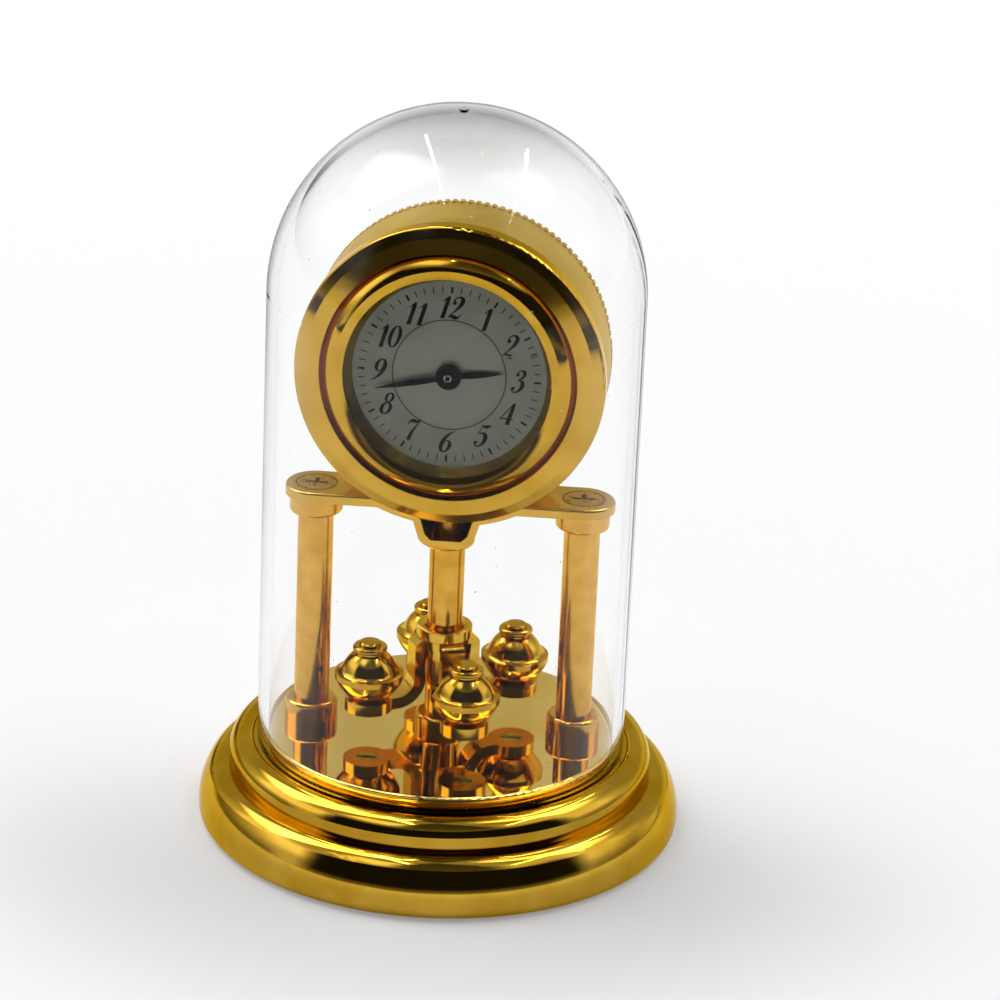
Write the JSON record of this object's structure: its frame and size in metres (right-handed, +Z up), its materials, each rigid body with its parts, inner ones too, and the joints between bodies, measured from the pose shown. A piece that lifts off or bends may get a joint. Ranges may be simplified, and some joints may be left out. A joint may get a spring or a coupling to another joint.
{
  "type": "desk pendulum clock",
  "caption": "Miniature desk clock under a clear dome, with a round drum case on columns and a turning ball pendulum over a gold base.",
  "frame": {"origin": "middle of the base's underside, on the surface the clock stands on", "axes": "+Z up, -Y the way the dial faces, +X to the right of a person reading the dial"},
  "size_m": [0.0408, 0.0408, 0.0624],
  "materials": {
    "polished_gold": "polished gold plate",
    "satin_gold": "satin gold plate",
    "mirror_gold": "mirror gold plate",
    "inner_brass": "plain brass",
    "steel": "plain steel",
    "clear_dome": "clear moulded",
    "crystal": "clear polished",
    "dial_silver": "silver satin, printed black",
    "hand_black": "black lacquer",
    "gear_plastic": "natural moulded",
    "movement_plastic": "black moulded",
    "copper": "enamelled copper winding",
    "board_green": "coated board",
    "battery_steel": "bright nickel",
    "ballast_iron": "plain",
    "sole_felt": "black felt"
  },
  "bodies": {
    "frame": {"base_shell": "polished_gold", "mirror_plate": "mirror_gold", "base_pad": "sole_felt", "ballast_disc": "ballast_iron", "foot_screws": "steel", "left_pillar": "satin_gold", "right_pillar": "satin_gold", "left_foot_collar": "polished_gold", "right_foot_collar": "polished_gold", "left_top_collar": "satin_gold", "right_top_collar": "satin_gold", "centre_column": "satin_gold", "centre_foot_collar": "polished_gold", "centre_top_collar": "polished_gold", "rest_ring": "inner_brass", "bridge": "polished_gold", "bridge_screws": "polished_gold", "case_stud": "inner_brass", "case_drum": "satin_gold", "bezel": "polished_gold", "crystal": "crystal", "rehaut": "polished_gold", "dial": "dial_silver", "movement_plate": "inner_brass", "movement_block": "movement_plastic", "battery": "battery_steel", "battery_strap": "steel", "coil": "copper", "stator": "steel", "circuit_board": "board_green", "back_cover": "satin_gold"},
    "dome": {"dome": "clear_dome"},
    "pendulum": {"pendulum_spider": "polished_gold", "pendulum_hub": "satin_gold", "pendulum_bells": "polished_gold", "pendulum_domes": "polished_gold", "pendulum_knobs": "polished_gold", "pendulum_screws": "steel"},
    "setting_knob": {"setting_knob": "movement_plastic", "setting_pinion": "gear_plastic"},
    "minute_wheel": {"minute_wheel": "gear_plastic"},
    "minute_hand": {"minute_hand": "hand_black", "cannon_pinion": "gear_plastic", "hand_cap": "hand_black"},
    "hour_hand": {"hour_hand": "hand_black", "hour_wheel": "gear_plastic"},
    "rotor": {"rotor": "steel"}
  },
  "joints": [
    {"name": "dome_lift", "type": "slide", "parent": "frame", "child": "dome", "axis": [0, 0, 1], "range_m": [0, 0.05]},
    {"name": "pendulum_turn", "type": "hinge", "parent": "frame", "child": "pendulum", "pos_m": [0, 0, 0.0158], "axis": [0, 0, 1], "continuous": true},
    {"name": "setting_turn", "type": "hinge", "parent": "frame", "child": "setting_knob", "pos_m": [0.00702, -0.0005, 0.04177], "axis": [-0.0715, -0.9974, 0], "continuous": true},
    {"name": "minute_wheel_turn", "type": "hinge", "parent": "frame", "child": "minute_wheel", "pos_m": [0.00327, -0.00023, 0.04314], "axis": [-0.0715, -0.9974, 0], "continuous": true},
    {"name": "minute_turn", "type": "hinge", "parent": "frame", "child": "minute_hand", "pos_m": [0, 0, 0.04084], "axis": [-0.0715, -0.9974, 0], "continuous": true},
    {"name": "hour_turn", "type": "hinge", "parent": "frame", "child": "hour_hand", "pos_m": [0, 0, 0.04084], "axis": [-0.0715, -0.9974, 0], "continuous": true},
    {"name": "rotor_turn", "type": "hinge", "parent": "frame", "child": "rotor", "pos_m": [0.0019, -0.00014, 0.04644], "axis": [-0.0715, -0.9974, 0], "continuous": true}
  ],
  "couplings": [
    {"joint": "minute_wheel_turn", "follows": "setting_turn", "ratio": -0.33333},
    {"joint": "minute_turn", "follows": "setting_turn", "ratio": 1},
    {"joint": "hour_turn", "follows": "setting_turn", "ratio": 0.083333}
  ]
}
